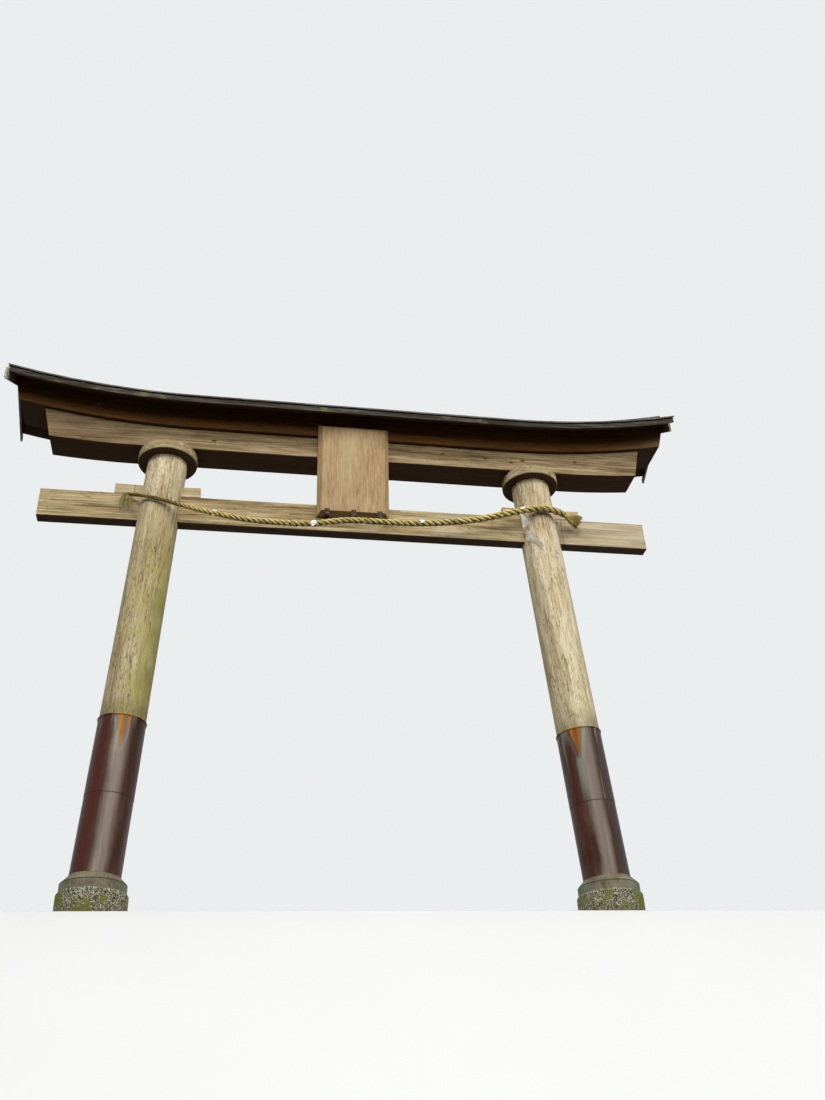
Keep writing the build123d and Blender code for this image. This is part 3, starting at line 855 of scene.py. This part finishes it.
def finished(name, shape, material, smooth=True):
    """A piece of straw or paper from its bmesh. It rides on the gate."""
    holes = [edge for edge in shape.edges if edge.is_boundary]
    bmesh.ops.holes_fill(shape, edges=holes)
    bmesh.ops.recalc_face_normals(shape, faces=shape.faces)
    mesh = bpy.data.meshes.new(name)
    shape.to_mesh(mesh)
    shape.free()
    if smooth:
        mesh.shade_smooth()
    mesh.materials.append(material)
    piece = placed(name, mesh)
    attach(piece, "root")
    return piece


def straw(
    name, lengthwise, sideways, darkest, shaded_grooves=False, patch_scale=14, damp=(0.3, 0.22, 0.12)
):
    paint = Paint(name, roughness=0.7)
    spot_map = paint.add("ShaderNodeUVMap", uv_map="UVMap")
    stalks = paint.drawn((lengthwise, sideways, 1), 3, 0.65, 0.1, place=spot_map)
    patches = paint.noise(patch_scale, 3, 0.6)
    paint.colour = paint.ramp(
        stalks * 0.7 + patches * 0.3,
        (0.34, darkest),
        (0.42, (0.3, 0.225, 0.07)),
        (0.52, (0.6, 0.48, 0.18)),
        (0.65, (0.84, 0.73, 0.38)),
    )
    paint.over(patches.between(0.52, 0.7) * 0.3, (0.3, 0.29, 0.08))
    # Painted shade: darker deep in the grooves between the strands.
    if shaded_grooves:
        reach = paint.add("ShaderNodeAttribute", attribute_name="reach").out("Fac")
        paint.over(reach.between(0.9, 0.7), (0.045, 0.027, 0.009))
    # Darker towards the rope's left end.
    wet = paint.axes()[0].between(-1.1, -1.36)
    paint.over(wet * 0.9, damp, "MULTIPLY")
    return paint.finish(stalks, 0.6)


rope_line = Line(route_points(ROPE_ROUTE))


def rope_width(share):
    for (low, first), (high, second) in zip(ROPE_THICKNESS, ROPE_THICKNESS[1:]):
        if share <= high:
            return first + (second - first) * (share - low) / (high - low)
    return ROPE_THICKNESS[-1][1]


chance = random.Random(7)
rope_turns = [0.0]
for step in range(ROPE_STEPS):
    pitch = LAY * rope_width(step / ROPE_STEPS)
    rope_turns.append(rope_turns[-1] + rope_line.length / ROPE_STEPS / pitch * math.tau)


def outward(side, rise, angle):
    """The direction out from a line at an angle round it."""
    return side * math.cos(angle) + rise * math.sin(angle)


def strand_place(strand, share):
    """Middle of a strand and its own radius at a share of the rope's length."""
    place, _, side, rise = rope_line.at(share * rope_line.length)
    angle = rope_turns[round(share * ROPE_STEPS)] + strand * math.tau / STRANDS
    width = rope_width(share)
    middle = place + outward(side, rise, angle) * width * STRAND_OUT
    return middle, width * STRAND_RADIUS


def laid_rope():
    shape = straw_shape()
    for strand in range(STRANDS):
        steps = range(STRAND_STEPS + 1)
        middles = [strand_place(strand, index / STRAND_STEPS)[0] for index in steps]
        line = Line(middles)
        ridges = [chance.uniform(-1, 1) for _ in range(STRAND_SIDES)]
        drift = [chance.uniform(-1, 1) for _ in range(STRAND_STEPS + 2)]

        def place(share, turn):
            index = round(share * STRAND_STEPS)
            middle = middles[index]
            radius = strand_place(strand, share)[1]
            _, _, side, rise = line.at(line.marks[index])
            ridge = ridges[round(turn / math.tau * STRAND_SIDES) % STRAND_SIDES]
            radius *= 1 + 0.07 * ridge + 0.035 * drift[index] * ridge
            if index in (0, STRAND_STEPS):
                radius *= 0.3
            angle = turn - share * rope_line.length * 9
            return middle + outward(side, rise, angle) * radius

        rolled(shape, STRAND_STEPS, STRAND_SIDES, place)
    reach = shape.verts.layers.float.new("reach")
    for vertex in shape.verts:
        place, share = rope_line.nearest(vertex.co)
        vertex[reach] = (vertex.co - place).length / (rope_width(share) / 2)
    finish = straw("straw_strands", 160, 9, (0.09, 0.06, 0.015), shaded_grooves=True)
    return finished("rope_strands", shape, finish)


rope_strands = laid_rope()
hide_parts("rope")


# Loose straws: single stalks of rice straw that have worked out of the lay and stand off the rope
# all along it. A small tuft of them hangs from it near the left post.
LOOSE_STRAWS = 420
TUFT_RUN = 0.645
TUFT_STRAWS = 16


def stalk(shape, start, end, thick, thin):
    """One thin straw from start to end."""
    run = end - start
    turn = run.to_track_quat("Z", "Y").to_matrix().to_4x4()
    where = Matrix.Translation((start + end) / 2) @ turn
    bmesh.ops.create_cone(
        shape, cap_ends=True, segments=4, radius1=thick, radius2=thin, depth=run.length,
        matrix=where, calc_uvs=True,
    )


def scattered(*spans):
    """A random vector: each part is drawn from its span, or stays where it is one number."""
    return Vector([chance.uniform(*span) if isinstance(span, tuple) else span for span in spans])


def loose_straws():
    shape = straw_shape()
    for _ in range(LOOSE_STRAWS):
        share = chance.uniform(0.01, 0.99)
        place, head, side, rise = rope_line.at(share * rope_line.length)
        out = outward(side, rise, chance.uniform(0, math.tau))
        around = head.cross(out)
        start = place + out * rope_width(share) * 0.46
        run = head * chance.choice((-1, 1)) + around * chance.uniform(-0.2, 0.9)
        run = (run + out * chance.uniform(0.1, 0.55)).normalized()
        stalk(shape, start, start + run * chance.uniform(0.012, 0.034), thick=0.0009, thin=0.0003)
    tuft = rope_line.at(TUFT_RUN)[0]
    for _ in range(TUFT_STRAWS):
        start = tuft + scattered((-0.01, 0.01), -0.008, -0.016)
        end = start + scattered((-0.012, 0.008), (-0.006, 0.003), (-0.04, -0.02))
        stalk(shape, start, end, thick=0.0014, thin=0.0006)
    finish = straw("straw_loose", 3, 1, (0.2, 0.15, 0.05))
    return finished("rope_loose_straws", shape, finish, smooth=False)


rope_loose_straws = loose_straws()


# Brush and binding: the rope's thick end is bound round with three turns of straw cord. Past them
# its stalks are cut off square and spread into a short brush.
TURN_STEPS = 20
CORD_SIDES = 8
BRUSH_STRAWS = 640
STRAY_STRAWS = 16
BRUSH_LENGTH = 0.1
BRUSH_STEPS = 10
BRUSH_SIDES = 66


def binding(shape, line, start, turns, radius, cord):
    """Turns of thin cord wound side by side round a core of one radius."""

    def place(share, turn):
        place_on, head, side, rise = line.at(start + share * turns * cord * 1.9)
        out = outward(side, rise, share * turns * math.tau)
        across = math.cos(turn) * cord
        along = math.sin(turn) * cord
        return place_on + out * (radius + across) + head * along

    rolled(shape, turns * TURN_STEPS, CORD_SIDES, place)


rope_end = rope_line.points[-1]
brush_head = (rope_end - Vector(ROPE_ROUTE[-2])).normalized()
brush_line = Line([rope_end - brush_head * 0.012, rope_end + brush_head * 0.108])


def straw_brush():
    shape = straw_shape()

    def core(share, turn):
        place, _, side, rise = brush_line.at(share * BRUSH_LENGTH)
        radius = 0.018 + 0.02 * share ** 1.1
        if share > 0.999:
            radius = 0.022
        ridge = 1 + 0.06 * math.sin(turn * 11 + math.sin(turn * 3) * 2)
        return place + outward(side, rise, turn) * radius * ridge

    rolled(shape, BRUSH_STEPS, BRUSH_SIDES, core)
    for _ in range(BRUSH_STRAWS):
        place, head, side, rise = brush_line.at(chance.uniform(0.008, 0.03))
        out = outward(side, rise, chance.uniform(0, math.tau))
        share = math.sqrt(chance.uniform(0.3, 1))
        start = place + out * 0.021 * share
        reach = chance.uniform(0.07, 0.1)
        slip = chance.uniform(-0.08, 0.08)
        end = start + head * reach + out * (0.03 * share) + head.cross(out) * slip * reach
        stalk(shape, start, end, thick=0.0015, thin=0.001)
    for _ in range(STRAY_STRAWS):
        place = brush_line.at(chance.uniform(0.03, 0.08))[0]
        start = place + scattered((-0.012, 0.0), -0.02, -0.028)
        run = scattered((-0.35, 0.5), -0.1, -1.0).normalized()
        stalk(shape, start, start + run * chance.uniform(0.02, 0.045), thick=0.001, thin=0.0004)
    finish = straw("straw_brush", 3, 1.5, (0.07, 0.042, 0.01), patch_scale=170)
    return finished("rope_brush", shape, finish, smooth=False)


rope_brush = straw_brush()
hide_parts("rope_butt")


bound = straw_shape()
binding(bound, brush_line, start=0.006, turns=3, radius=0.0215, cord=0.0032)
rope_binding = finished("rope_binding", bound, straw("straw_binding", 30, 2, (0.16, 0.12, 0.04)))


# Tie and tails: the rope's thin end is tied round with straw cord in two places. Its straws spread
# from there, bend over and hang in two frayed bunches.
tied = straw_shape()
binding(tied, rope_line, start=0.004, turns=5, radius=0.0085, cord=0.0036)
binding(tied, rope_line, start=0.062, turns=3, radius=0.0115, cord=0.003)
rope_tie = finished("rope_tie", tied, straw("straw_tie", 24, 2, (0.08, 0.055, 0.015)))
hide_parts("rope_knot")

# Each bunch: how far across and down from the knot it hangs, and its number of straws.
BUNCHES = ((-0.036, 0.141, 18), (0.022, 0.146, 14))
SHORT_STRAWS = 9


def hanging_straw(shape, start, foot, bulge):
    """One straw that leaves the knot sideways, bends over and hangs down to its foot."""
    place = start
    for share in (0.16, 0.36, 0.58, 0.8, 1.0):
        there = start.lerp(foot, share)
        bend = math.sin(share * math.pi / 2) ** 0.8
        hump = math.sin(share * math.pi)
        there.x = start.x + (foot.x - start.x) * bend + bulge * hump
        there.z = start.z + (foot.z - start.z) * share ** 1.7 + 0.006 * hump
        stalk(shape, place, there, thick=0.0018, thin=0.0016)
        place = there


def frayed_tails():
    shape = straw_shape()
    end = rope_line.points[0]
    for foot_across, foot_down, straws in BUNCHES:
        for _ in range(straws):
            start = end + scattered((-0.004, 0.03), (-0.012, 0.0), (-0.006, 0.004))
            reach = 1 - chance.uniform(0.0, 0.6) ** 2
            aside = foot_across + chance.uniform(-0.007, 0.009)
            foot = end + Vector((aside, -0.012, -foot_down * reach))
            hanging_straw(shape, start, foot, chance.uniform(-0.024, 0.014))
    for _ in range(SHORT_STRAWS):
        start = end + scattered((0.0, 0.03), -0.006, 0.0)
        foot = end + scattered((-0.055, -0.01), -0.014, (-0.07, -0.01))
        hanging_straw(shape, start, foot, chance.uniform(-0.012, 0.004))
    damp = (0.38, 0.37, 0.29)
    finish = straw("straw_tails", 3, 1.5, (0.06, 0.05, 0.02), patch_scale=110, damp=damp)
    return finished("rope_tails", shape, finish, smooth=False)


rope_tails = frayed_tails()


# Paper wisps: torn scraps of thin white paper, wrapped over the front of the rope at four places
# where folded streamers once hung.
def streamer_paper():
    paint = Paint("streamer_paper", roughness=0.75)
    creases = paint.noise(60, 3, 0.6, 0.5)
    stains = paint.noise(22, 3, 0.6)
    paint.colour = paint.mix(stains.between(0.48, 0.72), (0.9, 0.89, 0.86), (0.6, 0.58, 0.53))
    across, _, up = paint.axes()
    streamer = across.between(1.2, 1.22)
    wet = (up + (stains - 0.5) * 0.04).between(2.8, 2.76) * streamer
    wet_paper = paint.mix(creases.between(0.4, 0.6), (0.42, 0.4, 0.31), (0.64, 0.61, 0.5))
    paint.over(wet, wet_paper)
    soaked = (up + (stains - 0.5) * 0.08).between(2.7, 2.63) * streamer
    paint.over(soaked * 0.75, (0.27, 0.26, 0.17))
    return paint.finish(creases, depth=0.004)


paper = streamer_paper()
PAPER_THICKNESS = 0.0006
SCRAP_STEPS = 10
TORN_STEPS = 8
LYING_SHARE = 0.7
HANGING_SHARE = 0.3


def paper_sheet(name, sheets):
    """Sheets of thin paper, each a grid placed over what it lies on by place(share, across)."""
    shape = bmesh.new()
    for along, place in sheets:
        grid = bmesh.ops.create_grid(shape, x_segments=along, y_segments=4, size=0.5)
        for vertex in grid["verts"]:
            vertex.co = place(vertex.co.x + 0.5, vertex.co.y * 2)
    bmesh.ops.solidify(shape, geom=shape.faces, thickness=PAPER_THICKNESS)
    return finished(name, shape, paper)


def wrapped(across, half_width, top, bottom, tail):
    """A scrap of paper over the rope's front between two angles, with a torn end that hangs."""
    marked = zip(rope_line.marks, rope_line.points)
    run = next(mark for mark, point in marked if point.x > across)
    torn = [chance.uniform(0.5, 1.0) for _ in range(TORN_STEPS)]
    place_on, head, _, _ = rope_line.at(run)
    radius = rope_width(run / rope_line.length) * 0.5 + 0.0025

    def place(share, out):
        tear = torn[min(int(share * TORN_STEPS), TORN_STEPS - 1)]
        edge = tear * half_width * out * (0.35 + math.sin(share * math.pi))
        angle = top + min(share / LYING_SHARE, 1) * (bottom - top)
        ruffle = 0.0015 * math.sin(share * 17 + out * 3)
        there = place_on + head * (edge + 0.004 * math.sin(share * 4))
        there += Vector((0, -math.cos(angle), -math.sin(angle))) * (radius + ruffle)
        return there - Vector((0, 0, max(share - LYING_SHARE, 0) / HANGING_SHARE * tail))

    return SCRAP_STEPS, place


# Each wisp: place across, half width, its two angles on the rope and hanging length.
wisps = (
    (-0.998, 0.012, -1.0, -0.1, 0.003),
    (-0.32, 0.02, -0.9, 0.9, 0.012),
    (0.447, 0.018, -0.8, 0.4, 0.004),
    (1.2, 0.022, -0.7, 0.1, 0.003),
)
rope_paper = paper_sheet("rope_paper", [wrapped(*wisp) for wisp in wisps])

tuple(rope_line.points[0])
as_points(rope_line.points)


# Torn streamer: one strip of the paper still clings to the right post under the rope, white above
# and soaked grey below. It follows the round of the post.

# Each row: height, and the angles round the post of the strip's left and right edges.
STREAMER = (
    (2.935, -69, -62), (2.9, -70, -58), (2.853, -69, -47), (2.827, -70, -44), (2.806, -70, -35),
    (2.796, -69, -50), (2.782, -67, -59), (2.764, -66, -59), (2.755, -67, -52), (2.722, -69, -43),
    (2.7, -68, -33), (2.68, -63, -27), (2.655, -57, -25), (2.638, -47, -24), (2.618, -36, -17),
    (2.6, -30, -14), (2.575, -26, -17), (2.556, -21, -19),
)
STREAMER_RADIUS = 0.1422


def clinging(share, out):
    index = min(int(share * (len(STREAMER) - 1) + 1e-6), len(STREAMER) - 1)
    up, left, right = STREAMER[index]
    turn = math.radians((left + right) / 2 + (right - left) / 2 * out)
    radius = STREAMER_RADIUS + 0.0022 * math.sin(index * 1.9 + out * 2)
    across = FOOT_OUT - (up - FOOT_UP) * math.tan(POST_LEAN)
    return Vector((across + math.sin(turn) * radius, -math.cos(turn) * radius, up))


torn_streamer = paper_sheet("torn_streamer", [(len(STREAMER) - 1, clinging)])


# Floor and light: a plain pale stage. It is level under and behind the gate and falls away in
# front of the stones, because the camera stands lower than they do.
STAGE_REACH = 30
STAGE_PROFILE = (
    (STAGE_REACH, 0), (6, 0), (0, 0), (-0.215, 0), (-0.35, -0.04), (-0.7, -0.25),
    (-4.2, -2.7), (-5.2, -3.15), (-6.5, -3.3), (-12, -3.3), (-STAGE_REACH, -3.3),
)


def stage_surface():
    mesh = bpy.data.meshes.new("stage_floor")
    shape = bmesh.new()
    corners = [shape.verts.new((-STAGE_REACH, out, up)) for out, up in STAGE_PROFILE]
    edges = [shape.edges.new(pair) for pair in zip(corners, corners[1:])]
    grown = bmesh.ops.extrude_edge_only(shape, edges=edges)["geom"]
    moved = [part for part in grown if isinstance(part, bmesh.types.BMVert)]
    bmesh.ops.translate(shape, verts=moved, vec=(2 * STAGE_REACH, 0, 0))
    bmesh.ops.recalc_face_normals(shape, faces=shape.faces)
    shape.to_mesh(mesh)
    shape.free()
    mesh.shade_smooth()
    floor = placed("stage_floor", mesh)
    paint = Paint("stage_floor", roughness=0.95)
    seen = paint.seen()
    pale = paint.mix(paint.noise(0.8, 3), (0.6, 0.6, 0.59), (0.64, 0.64, 0.63))
    across, out, _ = paint.axes()
    far = (across * across + out * out).between(7, 30)
    paint.colour = paint.mix(seen * (1 - far), (0.06, 0.055, 0.05), pale)
    paint.set("Emission Strength", 1.0)
    glow = paint.mix(seen * far, (0, 0, 0), (0.8, 0.82, 0.83))
    mesh.materials.append(paint.finish(Emission_Color=glow))


stage_surface()

world = bpy.data.worlds.new("world")
bpy.context.scene.world = world
world.use_nodes = True
sky = Nodes(world.node_tree, "Generated")
daylight = sky.mix(sky.axes()[2].between(-0.1, 0.6), (0.03, 0.028, 0.025), (0.8, 0.82, 0.84))
shown = sky.mix(sky.seen(), daylight, (0.83, 0.85, 0.86))
sky.put(sky.tree.nodes["Background"], "Color", shown)


def soft_light(name, place, aim, size, power, colour):
    lamp = bpy.data.lights.new(name, "AREA")
    lamp.shape = "RECTANGLE"
    lamp.size, lamp.size_y = size
    lamp.energy = power
    lamp.color = colour
    holder = placed(name, lamp)
    holder.location = place
    holder.rotation_euler = (Vector(aim) - Vector(place)).to_track_quat("-Z", "Y").to_euler()


soft_light(
    "light_front_left", place=(-6.0, -7.5, 8.5), aim=(0, 0, 2.2), size=(4, 4), power=500,
    colour=(1.0, 0.98, 0.94),
)
soft_light(
    "light_front_right", place=(7.0, -7.0, 7.5), aim=(0, 0, 2.2), size=(4, 4), power=530,
    colour=(1.0, 0.99, 0.97),
)
soft_light(
    "light_front", place=(0.2, -7.5, 4.5), aim=(0, 0, 2.0), size=(1.5, 4), power=290,
    colour=(1.0, 0.99, 0.97),
)

bpy.context.scene.view_settings.view_transform = "Standard"
